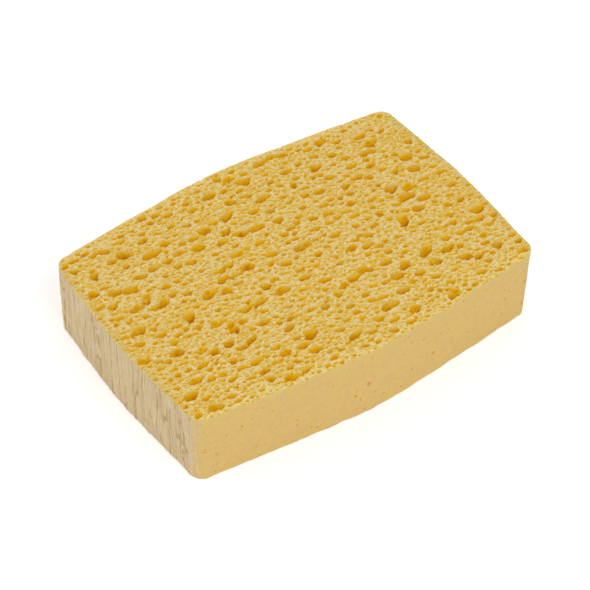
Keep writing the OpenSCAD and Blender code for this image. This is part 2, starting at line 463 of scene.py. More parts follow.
# A few of the holes in a pore's floor take much more painted shade, so that they look deep and
# orange
SHADED_HOLE_CHANCE = 0.25
SHADED_HOLE_STRENGTH = 0.8


def pore_points(name, pores, seed):
    """A mesh of loose points, one for each pore, that carry its sizes, turn, depth, strength of
    painted shade and layer.
    """
    r = draws(seed, 4 * len(pores)).reshape(-1, 4)
    table = np.array(pores)
    round_pore = table[:, 2] == table[:, 3]
    unlike = UNLIKE[0] + UNLIKE[1] * r
    stretch = np.where(round_pore, ROUND_PORE_STRETCH * unlike[:, 0], PLACED_PORE_STRETCH)
    turn = np.where(round_pore, GREATEST_TURN * (2 * r[:, 1] - 1), table[:, 4])
    share = DEPTH_SHARES[0] + (DEPTH_SHARES[1] - DEPTH_SHARES[0]) * r[:, 2]
    half_width = table[:, 3] / 2 / stretch
    depth = 2 * half_width * share + table[:, 5]
    # Painted shade: deeper pores, and a few of the holes, take more of it
    strength = np.minimum(SHADE_STRENGTH_START + SHADE_STRENGTH_RISE * depth, SHADE_STRENGTH_MOST) * unlike[:, 3]
    strength += SHADED_HOLE_STRENGTH * ((table[:, 5] > 0) & (r[:, 0] < SHADED_HOLE_CHANCE))
    mesh = bpy.data.meshes.new(name)
    places = np.column_stack([table[:, 0], table[:, 1] * LOOK_STRETCH, np.zeros(len(table))])
    mesh.from_pydata((places * MM).tolist(), [], [])
    values = {
        "half_length": table[:, 2] / 2 * stretch,
        "half_width": half_width,
        "turn": np.radians(turn),
        "depth": depth,
        "strength": strength,
        "layer": np.sum(table[:, 3, None] < np.array(LAYER_LIMITS), axis=1) - 1.0,
    }
    for key, numbers in values.items():
        mesh.attributes.new(key, "FLOAT", "POINT").data.foreach_set("value", numbers)
    print(name, "are up to", depth.max().round(1), "mm deep")
    return bpy.data.objects.new(name, mesh)


print("layers of pores:", len(LAYER_LIMITS))

# %% The grid that is pushed down, closed above by a lid
SHEET_SPACING = 0.25
UNDER_SPACING = 0.42
SHEET_OVERHANG = 3.0
SINK_MARGIN = 1.2
LID_HEIGHT = 6.0
# The face changes colour towards the ends and the sides, over so many millimetres
END_BAND = 3.5
SIDE_BAND = 6.0


def lidded_sheet(name, spacing):
    """A level grid at height 0 whose faces look down, with walls and a lid above it."""
    half = np.array([length / 2 + SHEET_OVERHANG, width / 2 + SHEET_OVERHANG])
    nx, ny = np.ceil(2 * half / spacing).astype(int) + 1
    x, y = np.meshgrid(np.linspace(-half[0], half[0], nx), np.linspace(-half[1], half[1], ny))
    grid = np.column_stack([x.ravel(), y.ravel(), np.zeros(nx * ny)])
    i = np.arange(nx * ny).reshape(ny, nx)
    faces = np.stack([i[:-1, :-1], i[1:, :-1], i[1:, 1:], i[:-1, 1:]], axis=-1).reshape(-1, 4)
    rim = np.concatenate([i[0, :-1], i[:-1, -1], i[-1, :0:-1], i[:0:-1, 0]])
    lifted = grid[rim] + np.array([0, 0, LID_HEIGHT])
    upper = len(grid) + np.arange(len(rim))
    walls = np.stack([rim, np.roll(rim, -1), np.roll(upper, -1), upper], axis=-1)
    mesh = bpy.data.meshes.new(name)
    points = np.vstack([grid, lifted]) * MM
    mesh.from_pydata(points, [], faces.tolist() + walls.tolist() + [upper.tolist()])
    from_middle = np.abs(grid[:, :2])
    share = np.minimum(from_middle / [block_length / 2, block_width / 2], 1)
    inside = from_middle[:, 1] < half_side(share[:, 0]) + SINK_MARGIN
    inside &= from_middle[:, 0] < half_end(share[:, 1]) + SINK_MARGIN
    shares = {
        "on_sheet": inside.astype(float),
        "by_end": np.clip(1 - (half_end(share[:, 1]) - from_middle[:, 0]) / END_BAND, 0, 1),
        "by_side": np.clip(1 - (half_side(share[:, 0]) - from_middle[:, 1]) / SIDE_BAND, 0, 1),
    }
    for key, numbers in shares.items():
        values = np.concatenate([numbers, np.zeros(len(rim))])
        mesh.attributes.new(key, "FLOAT", "POINT").data.foreach_set("value", values)
    print(name, "has", nx, "by", ny, "points")
    return bpy.data.objects.new(name, mesh)


print("a sheet goes", SHEET_OVERHANG, "mm past the block on every side")

# %% More kinds of node, and a new tree with its inputs
KINDS |= {
    "given": ("NodeGroupInput", {}),
    "result": ("NodeGroupOutput", {}),
    "position": ("GeometryNodeInputPosition", {}),
    "normal": ("GeometryNodeInputNormal", {}),
    "attribute": ("GeometryNodeInputNamedAttribute", {"data_type": "FLOAT"}),
    "equal": ("FunctionNodeCompare", {"data_type": "FLOAT", "operation": "EQUAL"}),
    "separated": ("GeometryNodeSeparateGeometry", {"domain": "POINT"}),
    "nearest": ("GeometryNodeSampleNearest", {"domain": "POINT"}),
    "sampled": ("GeometryNodeSampleIndex", {"data_type": "FLOAT", "domain": "POINT"}),
    "sampled place": ("GeometryNodeSampleIndex", {"data_type": "FLOAT_VECTOR", "domain": "POINT"}),
    "turned back": ("ShaderNodeVectorRotate", {"rotation_type": "Z_AXIS", "invert": True}),
    "object": ("GeometryNodeObjectInfo", {}),
    "cell walls": (
        "ShaderNodeTexVoronoi",
        {"voronoi_dimensions": "2D", "feature": "DISTANCE_TO_EDGE"},
    ),
    "vector": ("ShaderNodeCombineXYZ", {}),
    "stored": ("GeometryNodeStoreNamedAttribute", {"data_type": "FLOAT", "domain": "POINT"}),
    "moved": ("GeometryNodeSetPosition", {}),
    "realized": ("GeometryNodeRealizeInstances", {}),
    "dressed": ("GeometryNodeSetMaterial", {}),
}


def new_tree(name, inputs):
    """A new geometry tree with named inputs, and the sockets that give them."""
    tree = bpy.data.node_groups.new(name, "GeometryNodeTree")
    for title, kind in inputs.items():
        tree.interface.new_socket(title, in_out="INPUT", socket_type="NodeSocket" + kind)
    tree.interface.new_socket("Result", in_out="OUTPUT", socket_type="NodeSocketGeometry")
    return tree, add(tree, "given").node.outputs


print("kinds of node with geometry:", len(KINDS))

# %% One layer of pores as nodes
# How far the noise shakes the rims of each layer, in millimetres, and its waves in a millimetre
LAYER_SHAKE = [(2.0, 0.3), (1.4, 0.42), (0.9, 0.6), (0.6, 0.9), (0.45, 1.2)]
SHAKE_NOISE = {"Detail": 3.0, "Roughness": 0.7}
SHAKE_SQUEEZE = 0.7
BOWL_POWER = 0.45
# Painted shade: a place is painted most closed in, so darkest, under the near rim of a hollow and
# least at the far rim
SHADE_POWER = 0.2
SHADE_LEAN = 1.6
SHADE_LEAST = 0.25
# Hollows slant, as the block crept while it set: the way they slant, their depth at the middle as a
# share of the deepest, and its change towards the rim. The way they slant also sets the near rim,
# under which the painted shade is darkest
LEAN_WAY = (-0.15, -0.99, 0)
LEAN_MIDDLE = 0.72
LEAN_CHANGE = 0.38


def lean_share(tree, away, radius):
    """How far a place lies towards the near rim of its hollow, from -1 to 1."""
    share = add(tree, "over", add(tree, "dot", away, LEAN_WAY, output="Value"), radius)
    return add(tree, "clamped", share, -1.0, 1.0)


def shaded(tree, inside, share):
    """How much painted shade a place takes, from how closed in it is: how far inside its hollow it
    is and where it lies there.
    """
    near = add(tree, "times", add(tree, "plus", share, 1.0), 0.5)
    near = add(tree, "plus", add(tree, "power", near, SHADE_LEAN), SHADE_LEAST)
    return add(tree, "times", add(tree, "power", inside, SHADE_POWER), near)


def pore_layer(tree, points, place, layer):
    """How deep the pores of one layer cut at a place, in millimetres, and how much painted shade it
    takes for being closed in.
    """
    is_layer = add(tree, "equal", A=add(tree, "attribute", "layer"), B=float(layer))
    own = add(tree, "separated", points, is_layer)
    shake, waves = LAYER_SHAKE[layer]
    reach = (2 * shake, 2 * SHAKE_SQUEEZE * shake, 0)
    from_place = shaken(tree, place, reach, Scale=waves, **SHAKE_NOISE)
    look = add(tree, "vector times", from_place, (MM, MM * LOOK_STRETCH, 0))
    nearest = add(tree, "nearest", own, Sample_Position=look)
    centre = add(tree, "sampled place", own, add(tree, "position"), nearest)
    centre = add(tree, "vector times", centre, (1 / MM, 1 / (MM * LOOK_STRETCH), 0))
    half_length, half_width, turn, depth, strength = [
        add(tree, "sampled", own, add(tree, "attribute", key), nearest)
        for key in ("half_length", "half_width", "turn", "depth", "strength")
    ]
    away = add(tree, "vector minus", from_place, centre)
    parts = add(tree, "parts", add(tree, "turned back", away, Angle=turn)).node.outputs
    along = add(tree, "power", add(tree, "over", parts[0], half_length), 2.0)
    across = add(tree, "power", add(tree, "over", parts[1], half_width), 2.0)
    inside = add(tree, "minus", 1.0, add(tree, "plus", along, across))
    inside = add(tree, "greater", inside, 0.0)
    share = lean_share(tree, away, half_width)
    lean = add(tree, "plus", LEAN_MIDDLE, add(tree, "times", share, LEAN_CHANGE))
    bowl = add(tree, "times", add(tree, "power", inside, BOWL_POWER), lean)
    closed = add(tree, "times", shaded(tree, inside, share), strength)
    return add(tree, "times", bowl, depth), closed


print("rims are shaken by", LAYER_SHAKE[-1][0], "to", LAYER_SHAKE[0][0], "mm")

# %% The tree that sinks the grid
# The finest cells of the land: waves in a millimetre along and across, and depth in millimetres
LAND_WAVES = (0.75, 1.15)
LAND_DEPTH = 0.2
LAND_FLOOR_SHARPNESS = 3.2
LAND_FLOOR_POWER = 0.7
# Reach in millimetres and noise of the shaking that keeps the cells from looking like tiles
LAND_DRIFT = (1.6, 1.2, 0)
LAND_DRIFT_NOISE = {"Scale": 0.7, "Roughness": 0.6}
# Patches with deeper and with shallower cells
LAND_PATCH_WAVES = 0.35
LAND_PATCH_DEPTH = 1.6
# What is lost of those cells inside a pore, reached at a depth of so many millimetres
LAND_LOST = 0.85
LAND_LOST_DEPTH = 0.85
# Sag of the whole cut face, in millimetres, and its noise
FACE_SWELL = 0.35
FACE_NOISE = {"Scale": 0.05, "Detail": 1.0}


def cut_face_tree():
    """Geometry nodes that sink a lidded sheet at the pores of another object."""
    inputs = {"Sheet": "Geometry", "Pores": "Object", "Land Depth": "Float", "Material": "Material"}
    tree, given = new_tree("cut face", inputs)
    points = add(tree, "object", given["Pores"], output="Geometry")
    place = add(tree, "vector times", add(tree, "position"), (1 / MM, 1 / MM, 0))
    deepest, darkest = 0.0, 0.0
    for layer in range(len(LAYER_LIMITS)):
        depth, closed = pore_layer(tree, points, place, layer)
        deepest = add(tree, "greater", depth, deepest)
        darkest = add(tree, "greater", closed, darkest)
    drifted = shaken(tree, place, LAND_DRIFT, **LAND_DRIFT_NOISE)
    cells = add(
        tree, "cell walls", add(tree, "vector times", drifted, (*LAND_WAVES, 0)), Scale=1.0
    )
    floors = add(tree, "lesser", add(tree, "times", cells, LAND_FLOOR_SHARPNESS), 1.0)
    floors = add(tree, "times", add(tree, "power", floors, LAND_FLOOR_POWER), given["Land Depth"])
    patches = add(tree, "noise", place, Scale=LAND_PATCH_WAVES)
    land = add(tree, "times", floors, add(tree, "times", patches, LAND_PATCH_DEPTH))
    in_pore = add(tree, "lesser", add(tree, "over", deepest, LAND_LOST_DEPTH), 1.0)
    kept = add(tree, "minus", 1.0, add(tree, "times", in_pore, LAND_LOST))
    swell = add(tree, "noise", place, **FACE_NOISE)
    sunk = add(tree, "plus", deepest, add(tree, "times", land, kept))
    sunk = add(tree, "plus", sunk, add(tree, "times", swell, FACE_SWELL))
    drop = add(tree, "times", add(tree, "times", sunk, -MM), add(tree, "attribute", "on_sheet"))
    # The painted shade of the pores goes with the grid, as the attribute hollow
    stored = add(tree, "stored", given["Sheet"], Name="hollow", Value=darkest)
    moved = add(tree, "moved", stored, Offset=add(tree, "vector", Z=drop))
    plain = add(tree, "realized", moved)
    add(tree, "result", add(tree, "dressed", plain, Material=given["Material"]))
    return tree


face_tree = cut_face_tree()
print("the tree of a cut face has", len(face_tree.nodes), "nodes")

# %% [markdown]
# ## Materials
# Dry cellulose foam is pale where it is thin and lit through, and a deep amber where light has
# bounced about inside a cell. The path tracer gives part of that by itself. The rest is painted
# shade and painted bounced light, set by how closed in a place is, a value that the grid carries
# with it.
# Pits too small for the mesh are worked out in the material by the same rule, so they look like
# smaller pores of the same foam, with the same painted shade.

# %% A new material, and the kinds of node that materials need
KINDS |= {
    "place": ("ShaderNodeTexCoord", {}),
    # The attribute hollow carries the painted shade of the pores
    "hollow": ("ShaderNodeAttribute", {"attribute_name": "hollow"}),
    "by end": ("ShaderNodeAttribute", {"attribute_name": "by_end"}),
    "by side": ("ShaderNodeAttribute", {"attribute_name": "by_side"}),
    "on end": ("ShaderNodeAttribute", {"attribute_name": "on_end"}),
    "flat cells": ("ShaderNodeTexVoronoi", {"voronoi_dimensions": "2D"}),
    "cells": ("ShaderNodeTexVoronoi", {}),
    "ramp": ("ShaderNodeValToRGB", {}),
    "mixed": ("ShaderNodeMix", {"data_type": "RGBA"}),
    "bump": ("ShaderNodeBump", {}),
}


def surface(name):
    """A new material, its tree and its shader."""
    material = bpy.data.materials.new(name)
    material.use_nodes = True
    tree = material.node_tree
    return material, tree, tree.nodes["Principled BSDF"]


def finish(tree, shader, colour, rise, reach, roughness, specular):
    """Gives a shader its colour, its relief of so many millimetres, its roughness and its gloss."""
    tree.links.new(colour, shader.inputs["Base Color"])
    bump = add(tree, "bump", Height=rise, Distance=reach * MM)
    tree.links.new(bump, shader.inputs["Normal"])
    shader.inputs["Roughness"].default_value = roughness
    shader.inputs["Specular IOR Level"].default_value = specular


print("kinds of node in all:", len(KINDS))

# %% Pits too small for the mesh
# Two layers: waves in a millimetre along and across, reach in a wave, and strength of their painted
# shade and sinking
FINE_PITS = [(0.48, 1.05, 0.52, 0.55), (0.85, 1.8, 0.5, 0.3)]
# Radius of a pit as a share of its reach: the least, and the spread
PIT_SPREAD = (0.25, 0.9)


def fine_pits(tree, place, waves, reach):
    """How much painted shade fine pits give a place, and how far it is sunk, both from 0 to 1."""
    spread = add(tree, "vector times", place, waves)
    cells = add(tree, "flat cells", spread, Scale=1.0).node.outputs
    chance = add(tree, "parts", cells["Color"])
    radius = add(tree, "plus", add(tree, "times", chance, PIT_SPREAD[1]), PIT_SPREAD[0])
    radius = add(tree, "times", radius, reach)
    inside = add(tree, "power", add(tree, "over", cells["Distance"], radius), 2.0)
    inside = add(tree, "greater", add(tree, "minus", 1.0, inside), 0.0)
    away = add(tree, "vector minus", spread, cells["Position"])
    closed = shaded(tree, inside, lean_share(tree, away, radius))
    return closed, add(tree, "power", inside, BOWL_POWER)


print("fine pits are about", [round(1 / across, 1) for _, across, *_ in FINE_PITS], "mm apart")

# %% The sliced foam
# The land and fibre colours are the foam's own; the colours from the rim to the deepest shade are
# painted shade and bounced light in the hollows
LAND_COLOUR = "#F3DA9A"
RIM_SHADE_COLOUR = "#EDC852"
CELL_SHADE_COLOUR = "#EAB80A"
DEEP_SHADE_COLOUR = "#E7A900"
HOLE_SHADE_COLOUR = "#DB9200"
DEEPEST_SHADE_COLOUR = "#C46800"
FIBRE_COLOUR = "#F0E2BC"
# The open land is greener beside the ends and brighter beside the sides, where light comes through
# from the narrow faces: the kind of node, the colour and the greatest share of each
BANDS = [("by end", "#DCCA80", 0.6), ("by side", "#FFE794", 0.4)]
# Where each colour lies between the open land and the most closed-in floor; all but the land colour
# are painted shade and bounced light. The colour of a hole is held for a stretch, so that only the
# few deepest holes turn orange, a painted deep shade
FACE_AND_SHADE_COLOURS = [
    (0.025, LAND_COLOUR),
    (0.12, RIM_SHADE_COLOUR),
    (0.255, CELL_SHADE_COLOUR),
    (0.415, DEEP_SHADE_COLOUR),
    (0.61, HOLE_SHADE_COLOUR),
    (0.85, HOLE_SHADE_COLOUR),
    (1.0, DEEPEST_SHADE_COLOUR),
]
MOST_PAINTED_SHADE = 1.8
# Fine pits lie on open land only, which ends at this share of a closed-in place
LAND_END = 0.25
# Reach in millimetres and noise of the shaking of the fine pits
PIT_DRIFT = (0.8, 0.6, 0)
PIT_DRIFT_NOISE = {"Scale": 1.2, "Roughness": 0.6}
# Patches with more and fewer fine pits, and uneven dye that also scales the painted shade: the
# noise, the least, and the spread
PIT_PATCHES = ({"Scale": 0.14, "Roughness": 0.6}, 0.3, 1.4)
UNEVEN_DYE_AND_SHADE = ({"Scale": 0.9, "Detail": 3.0, "Roughness": 0.6}, 0.8, 0.5)
# Relief: depth of the fine pits in millimetres, grain and fibres as shares of it
FINE_DEPTH = 0.18
GRAIN_NOISE = {"Scale": 1.2, "Detail": 3.0, "Roughness": 0.65}
GRAIN_SHARE = 0.5
FIBRE_STRETCH = (0.6, 1.2, 1)
FIBRE_NOISE = {"Scale": 1.1, "Roughness": 0.6}
FIBRE_SHARPNESS = 16.0
FIBRE_RELIEF = 0.3
FIBRE_SHARE = 0.18
CUT_ROUGHNESS = 0.85
CUT_GLOSS = 0.1


def foam_colour(tree, closed):
    """The colour of the foam at a place, from its own pale open land to the painted amber shade of a
    closed-in floor.
    """
    ramp = add(tree, "ramp", closed)
    stops = ramp.node.color_ramp.elements
    for stop, (share, colour) in zip(stops, (FACE_AND_SHADE_COLOURS[0], FACE_AND_SHADE_COLOURS[-1])):
        stop.position = share
        stop.color = linear(colour)
    for share, colour in FACE_AND_SHADE_COLOURS[1:-1]:
        stops.new(share).color = linear(colour)
    return ramp


def cut_foam():
    """Cellulose foam, cast and sliced dry. The knife leaves torn cells, which look matt. The amber
    of its hollows and pits is painted shade and bounced light.

    Its fibres and its pits of 0.3 to 1 mm are drawn a little coarser than life, so that they show.
    """
    material, tree, shader = surface("sliced cellulose foam")
    place = add(tree, "vector times", add(tree, "place", output="Object"), (1 / MM, 1 / MM, 1 / MM))
    drifted = shaken(tree, place, PIT_DRIFT, **PIT_DRIFT_NOISE)
    # The painted shade of the pores, carried by the grid
    closed = add(tree, "hollow", output="Fac")
    open_land = add(tree, "lesser", add(tree, "over", closed, LAND_END), 1.0)
    open_land = add(tree, "minus", 1.0, open_land)
    noise, least, spread = PIT_PATCHES
    patch = add(tree, "times", add(tree, "noise", place, **noise), spread)
    patch = add(tree, "plus", patch, least)
    sunk = 0.0
    for along, across, reach, strength in FINE_PITS:
        pit_shade, pit_bowl = fine_pits(tree, drifted, (along, across, 0), reach)
        share = add(tree, "times", open_land, strength)
        pit_shade = add(tree, "times", pit_shade, add(tree, "times", share, patch))
        closed = add(tree, "greater", closed, pit_shade)
        sunk = add(tree, "plus", sunk, add(tree, "times", pit_bowl, share))
    noise, least, spread = UNEVEN_DYE_AND_SHADE
    uneven = add(tree, "times", add(tree, "noise", place, **noise), spread)
    uneven = add(tree, "plus", uneven, least)
    # Uneven dye that also makes the painted shade stronger or weaker
    closed = add(tree, "times", closed, add(tree, "over", uneven, MOST_PAINTED_SHADE))
    grain = add(tree, "noise", place, **GRAIN_NOISE)
    streak = add(tree, "vector times", drifted, FIBRE_STRETCH)
    fibre = thin_lines(tree, add(tree, "noise", streak, **FIBRE_NOISE), FIBRE_SHARPNESS)
    rise = add(tree, "times", fibre, FIBRE_RELIEF)
    rise = add(tree, "plus", add(tree, "times", grain, GRAIN_SHARE), rise)
    share = add(tree, "times", add(tree, "times", fibre, open_land), FIBRE_SHARE)
    # The ramp paints shade and bounced light by how closed in a place is
    colour = foam_colour(tree, closed)
    colour = add(tree, "mixed", share, i6=colour, i7=linear(FIBRE_COLOUR), output=2)
    for kind, band_colour, most in BANDS:
        share = add(tree, "times", add(tree, kind, output="Fac"), open_land)
        share = add(tree, "times", share, most)
        colour = add(tree, "mixed", share, i6=colour, i7=linear(band_colour), output=2)
    rise = add(tree, "minus", rise, sunk)
    finish(tree, shader, colour, rise, FINE_DEPTH, CUT_ROUGHNESS, CUT_GLOSS)
    return material


sliced = cut_foam()
print(sliced.name, "has", len(sliced.node_tree.nodes), "nodes")

# %% Specks and wrinkles of the skin
# Specks: waves in a millimetre, and their greatest reach in millimetres
SPECKS = [(0.2, 1.2), (0.5, 0.7)]
# Reach in millimetres of the shaking that makes the specks uneven
SPECK_DRIFT = (1.4, 1.4, 1.8)
SPECK_DRIFT_WAVES = 1.0
# The higher this power is, the fewer specks come near their greatest reach
SPECK_RARITY = 4.0
SPECK_SHARPNESS = 2.0
SPECK_MOST = 0.8
# Upright wrinkles of the ends, fine ones and coarse ones: the noise, how far it is stretched
# upright, the sharpness of its lines, and the greatest share of their painted shade and relief
WRINKLES = [
    ({"Scale": 0.42, "Detail": 3.0, "Roughness": 0.6}, 0.03, 20.0, 0.28),
    ({"Scale": 0.2, "Detail": 2.0, "Roughness": 0.6}, 0.05, 44.0, 0.85),
]
# Reach in millimetres and noise of the sway that keeps a wrinkle from being straight
SWAY = (1.4, 1.4, 0)
SWAY_NOISE = {"Scale": 0.12, "Detail": 1.0}


def specks(tree, place):
    """How much of the colour of the burnt specks a place takes."""
    drifted = shaken(tree, place, SPECK_DRIFT, Scale=SPECK_DRIFT_WAVES)
    speck = 0.0
    for waves, reach in SPECKS:
        spots = add(tree, "cells", drifted, Scale=waves).node.outputs
        chance = add(tree, "power", add(tree, "parts", spots["Color"]), SPECK_RARITY)
        far = add(tree, "over", spots["Distance"], add(tree, "times", chance, waves * reach))
        near = add(tree, "greater", add(tree, "minus", 1.0, far), 0.0)
        speck = add(tree, "greater", near, speck)
    return add(tree, "lesser", add(tree, "times", speck, SPECK_SHARPNESS), SPECK_MOST)


def wrinkles(tree, place):
    """How deep a place lies in an upright wrinkle, from 0 to 1."""
    swayed = shaken(tree, place, SWAY, **SWAY_NOISE)
    deepest = 0.0
    for noise, upright, sharpness, most in WRINKLES:
        streak = add(tree, "vector times", swayed, (1, 1, upright))
        line = thin_lines(tree, add(tree, "noise", streak, **noise), sharpness)
        deepest = add(tree, "greater", deepest, add(tree, "times", line, most))
    return deepest


print("the ends have wrinkles about", [round(1 / w[0]["Scale"], 1) for w in WRINKLES], "mm apart")

# %% The skin of the loaf
SIDE_COLOUR = "#EBCC76"
MOTTLE_COLOUR = "#E7BF7E"
SPECK_COLOUR = "#E2962A"
EDGE_LIGHT_COLOUR = "#EAD27E"
# The ends' colours are partly their own and partly painted light, made paler in place of light from
# the left
END_COLOUR_AND_LIGHT = "#EBD7B2"
END_MOTTLE_AND_LIGHT = "#E2C692"
# Painted shade in the creases of the wrinkles
WRINKLE_SHADE_COLOUR = "#BC9660"
# Mottle of the skin: its noise, where that starts to show, and its contrast
MOTTLE = ({"Scale": 0.45, "Detail": 5.0, "Roughness": 0.8}, 0.37, 3.8)
# Painted light: the upper edge of the sides is paler over so many millimetres, where light comes
# through the skin that the knife thinned
EDGE_LIGHT_BAND = 3.0
EDGE_LIGHT_SHARE = 0.5
# The colour of the ends fades out over the round corners, as this power of the way round
END_POWER = 2.0
# Relief of the skin: its depth in millimetres, and the soft fuzz as a share of it
FUZZ_NOISE = {"Scale": 1.6, "Detail": 3.0, "Roughness": 0.6}
FUZZ_SHARE = 0.5
SKIN_RELIEF = 0.12
SKIN_ROUGHNESS = 0.75
SKIN_GLOSS = 0.25


def foam_skin():
    """The skin of a cast loaf of cellulose: smooth and softly matt, with small burnt specks.

    The ends dried in folds, so they have upright wrinkles 2 to 5 mm apart, darkened with painted
    shade. They are paler, partly in their own colour and partly with painted light, and the upper
    edge of the sides is paler with painted light."""
    material, tree, shader = surface("cellulose foam skin")
    end = add(tree, "power", add(tree, "on end", output="Fac"), END_POWER)
    place = add(tree, "vector times", add(tree, "place", output="Object"), (1 / MM, 1 / MM, 1 / MM))
    noise, start, contrast = MOTTLE
    mottle = add(tree, "minus", add(tree, "noise", place, **noise), start)
    mottle = add(tree, "clamped", add(tree, "times", mottle, contrast), 0.0, 1.0)
    colours = {"i6": linear(SIDE_COLOUR), "i7": linear(MOTTLE_COLOUR)}
    side = add(tree, "mixed", mottle, output=2, **colours)
    # Painted light: the upper edge of the sides is paler
    edge = add(tree, "minus", add(tree, "parts", place, output=2), height - EDGE_LIGHT_BAND)
    edge = add(tree, "clamped", add(tree, "over", edge, EDGE_LIGHT_BAND), 0.0, 1.0)
    edge = add(tree, "times", edge, EDGE_LIGHT_SHARE)
    side = add(tree, "mixed", edge, i6=side, i7=linear(EDGE_LIGHT_COLOUR), output=2)
    speck = specks(tree, place)
    side = add(tree, "mixed", speck, i6=side, i7=linear(SPECK_COLOUR), output=2)
    # The ends: their own tone with painted light
    colours = {"i6": linear(END_COLOUR_AND_LIGHT), "i7": linear(END_MOTTLE_AND_LIGHT)}
    ends = add(tree, "mixed", mottle, output=2, **colours)
    wrinkle = wrinkles(tree, place)
    # Painted shade darkens the wrinkles
    ends = add(tree, "mixed", wrinkle, i6=ends, i7=linear(WRINKLE_SHADE_COLOUR), output=2)
    colour = add(tree, "mixed", end, i6=side, i7=ends, output=2)
    fuzz = add(tree, "times", add(tree, "noise", place, **FUZZ_NOISE), FUZZ_SHARE)
    rise = add(tree, "minus", fuzz, add(tree, "times", wrinkle, end))
    finish(tree, shader, colour, rise, SKIN_RELIEF, SKIN_ROUGHNESS, SKIN_GLOSS)
    return material


skin = foam_skin()
print(skin.name, "has", len(skin.node_tree.nodes), "nodes")

# %% Put a tree on a piece, and make the outcome a plain mesh
def node_modifier(piece, tree, **values):
    """Adds a Geometry Nodes modifier and sets its inputs by the identifiers of their sockets."""
    modifier = piece.modifiers.new(tree.name, "NODES")
    modifier.node_group = tree
    for item in tree.interface.items_tree:
        key = item.name.replace(" ", "_").lower()
        if item.in_out == "INPUT" and key in values:
            modifier[item.identifier] = values[key]


def made_plain(piece, name):
    """The piece with its modifiers done, as a new object with a plain mesh."""
    bpy.context.view_layer.update()
    shown = piece.evaluated_get(bpy.context.evaluated_depsgraph_get())
    mesh = bpy.data.meshes.new_from_object(shown)
    mesh.name = name
    done = bpy.data.objects.new(name, mesh)
    scene.collection.objects.link(done)
    bpy.data.objects.remove(piece, do_unlink=True)
    return done


sockets = [item.identifier for item in face_tree.interface.items_tree if item.in_out == "INPUT"]
print("a cut face takes its inputs by", ", ".join(sockets))

# %% Sink both cut faces
# Triangles that each face is thinned to
UPPER_TRIANGLES = 140000
UNDER_TRIANGLES = 30000
UNDER_LAND_DEPTH = 0.2
POINT_SEEDS = (31, 47)


def cut_face(name, pores, seed, spacing, land_depth, triangles):
    """A closed cutter: everything above one cut face."""
    points = pore_points(name + " pores", pores, seed)
    sheet = lidded_sheet(name + " sheet", spacing)
    for thing in (points, sheet):
        scene.collection.objects.link(thing)
    node_modifier(sheet, face_tree, pores=points, land_depth=land_depth, material=sliced)
    before = 2 * len(sheet.data.polygons)
    sheet.modifiers.new("thin", "DECIMATE").ratio = triangles / before
    made = made_plain(sheet, name)
    bpy.data.objects.remove(points, do_unlink=True)
    print(name, "went from about", before, "to", len(made.data.polygons), "faces")
    return made


upper = cut_face(
    "upper face", upper_pores, POINT_SEEDS[0], SHEET_SPACING, LAND_DEPTH, UPPER_TRIANGLES
)
under = cut_face(
    "underside", under_pores, POINT_SEEDS[1], UNDER_SPACING, UNDER_LAND_DEPTH, UNDER_TRIANGLES
)
upper.data.transform(Matrix.Translation((0, 0, height * MM)))
under.data.transform(Matrix.Scale(-1, 4, (0, 0, 1)))
under.data.flip_normals()

# %% [markdown]
# ## The skin and the whole block
# The narrow faces are a wall that follows the outline. The long sides are smooth and even. The
# ends have upright wrinkles, as the loaf shrank there, so they need points close together along
# the outline but few up and down. The two cutters are then taken away from the solid inside the
# wall. The Manifold solver does this fast and leaves one closed mesh, and wherever a pore reaches
# the edge it leaves a real notch.

# %% The wall round the block
# Distances between its points along a side, along an end and upright, in millimetres
SIDE_SPACING = 0.8
END_SPACING = 0.45
LEVEL_SPACING = 2.7
CORNER_STEPS = 16
WALL_OVERHANG = 1.5
# The block narrows downwards by so much on every side
UNDERSIDE_SET_IN = 0.5


def wall():
    """A closed prism on the outline that runs past both cut faces."""
    side_steps = round(length / 2 / SIDE_SPACING)
    end_steps = round(width / 2 / END_SPACING)
    around, ends = outline(side_steps, end_steps, CORNER_STEPS)
    levels = np.linspace(-WALL_OVERHANG, height + WALL_OVERHANG, round(height / LEVEL_SPACING) + 1)
    n, m = len(around), len(levels)
    to_middle = around / np.linalg.norm(around, axis=1)[:, None]
    rings = []
    for z in levels:
        set_in = UNDERSIDE_SET_IN * (1 - min(max(z / height, 0), 1))
        rings.append(np.column_stack([around - to_middle * set_in, np.full(n, z)]))
    i = np.arange(n * m).reshape(m, n)
    j = np.roll(i, -1, axis=1)
    faces = np.stack([i[:-1], j[:-1], j[1:], i[1:]], axis=-1).reshape(-1, 4)
    mesh = bpy.data.meshes.new("wall")
    caps = [i[0, ::-1].tolist(), i[-1].tolist()]
    mesh.from_pydata(np.vstack(rings) * MM, [], faces.tolist() + caps)
    # Kept for each corner of a face, so that the cuts carry it on. The top ring is left out,
    # because the skin of an end turns yellow just below the upper cut
    on_end = np.tile(ends, (m, 1))
    on_end[-1] = 0
    corners = np.empty(len(mesh.loops), int)
    mesh.loops.foreach_get("vertex_index", corners)
    shares = mesh.attributes.new("on_end", "FLOAT", "CORNER").data
    shares.foreach_set("value", on_end.ravel()[corners])
    print("the wall has", m, "levels of", n, "points")
    return bpy.data.objects.new("wall", mesh)


block = wall()
scene.collection.objects.link(block)

# %% The tree that wrinkles the wall
# Waves of all narrow faces, and wrinkles of the ends, in millimetres and waves in a millimetre
WAVE_DEPTH = 0.45
WAVE_WAVES = 0.07
WRINKLE_DEPTH = 0.25
WRINKLE_NOISE = {"Scale": 0.42, "Detail": 3.0, "Roughness": 0.6}
WRINKLE_UPRIGHT = 0.07
WRINKLE_SHARPNESS = 8.0
# Wear of the lower edge: its height and depth, its noise, the noise at which nothing is worn, and
# the share of the wear that the ends have
FOOT_HEIGHT = 6.0
FOOT_WEAR = 2.0
FOOT_NOISE = {"Scale": 0.16, "Detail": 3.0}
FOOT_WHOLE = 0.6
FOOT_END_SHARE = 0.35


